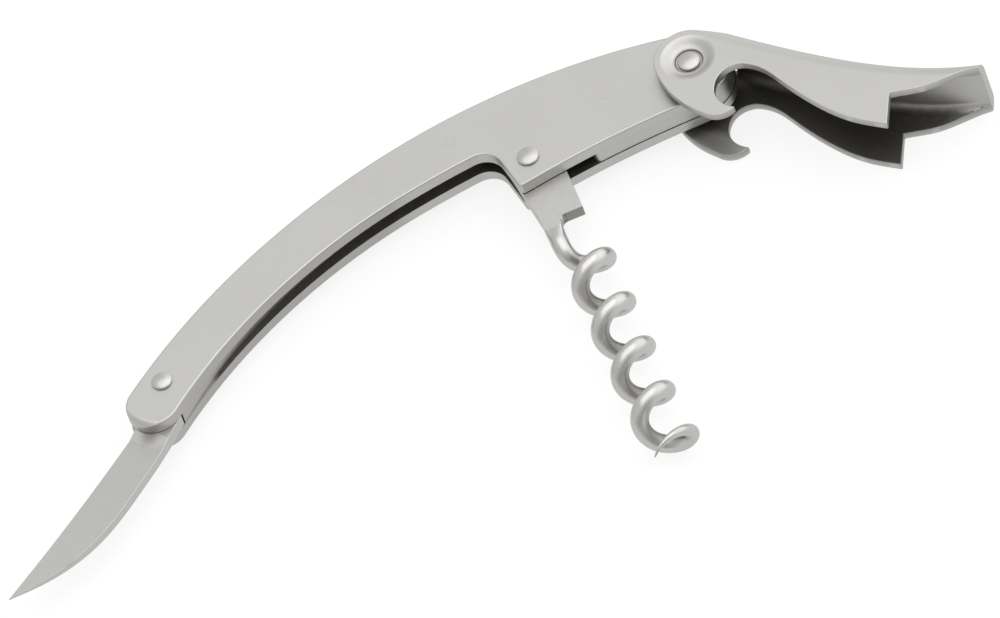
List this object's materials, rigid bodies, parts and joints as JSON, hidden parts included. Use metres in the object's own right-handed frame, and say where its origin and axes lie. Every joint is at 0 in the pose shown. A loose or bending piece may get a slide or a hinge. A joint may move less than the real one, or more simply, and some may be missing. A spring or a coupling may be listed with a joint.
{
  "type": "folding corkscrew",
  "caption": "Folding waiter's corkscrew: a curved handle with a foil blade, a coiled worm, and a hinged lever that braces on the bottle's rim and lifts caps.",
  "frame": {"origin": "centre of the bounding box's base, in the plane the lever's lower side lies in", "axes": "+X along the handle from the blade rivet to the lever rivet, +Y towards the handle's back, +Z along the rivets"},
  "size_m": [0.1854, 0.0848, 0.0128],
  "materials": {
    "plate_steel": "satin",
    "spring_steel": "satin",
    "blade_steel": "satin ground",
    "worm_steel": "polished",
    "lever_steel": "satin",
    "rivet_steel": "polished"
  },
  "bodies": {
    "handle": {"front_plate": "plate_steel", "back_plate": "plate_steel", "back_spring": "spring_steel", "lever_spacer": "plate_steel", "blade_rivet": "rivet_steel", "worm_rivet": "rivet_steel", "lever_rivet": "rivet_steel", "spring_pin_blade_side": "rivet_steel", "spring_pin_worm_side": "rivet_steel", "spacer_pin": "rivet_steel"},
    "blade": {"blade": "blade_steel"},
    "worm": {"worm": "worm_steel"},
    "lever": {"lever": "lever_steel"}
  },
  "joints": [
    {"name": "blade_fold", "type": "hinge", "parent": "handle", "child": "blade", "pos_m": [-0.05058, 0.02456, 0.00639], "axis": [0, 0, -1], "range_deg": [0, 188]},
    {"name": "lever_close", "type": "hinge", "parent": "handle", "child": "lever", "pos_m": [0.05332, 0.02456, 0.00639], "axis": [0, 0, -1], "range_deg": [0, 128]},
    {"name": "worm_fold", "type": "hinge", "parent": "handle", "child": "worm", "pos_m": [0.02202, 0.02596, 0.00639], "axis": [0, 0, -1], "range_deg": [0, 73.6]}
  ],
  "couplings": [
    {"joint": "worm_fold", "follows": "lever_close", "ratio": 0.5742}
  ]
}
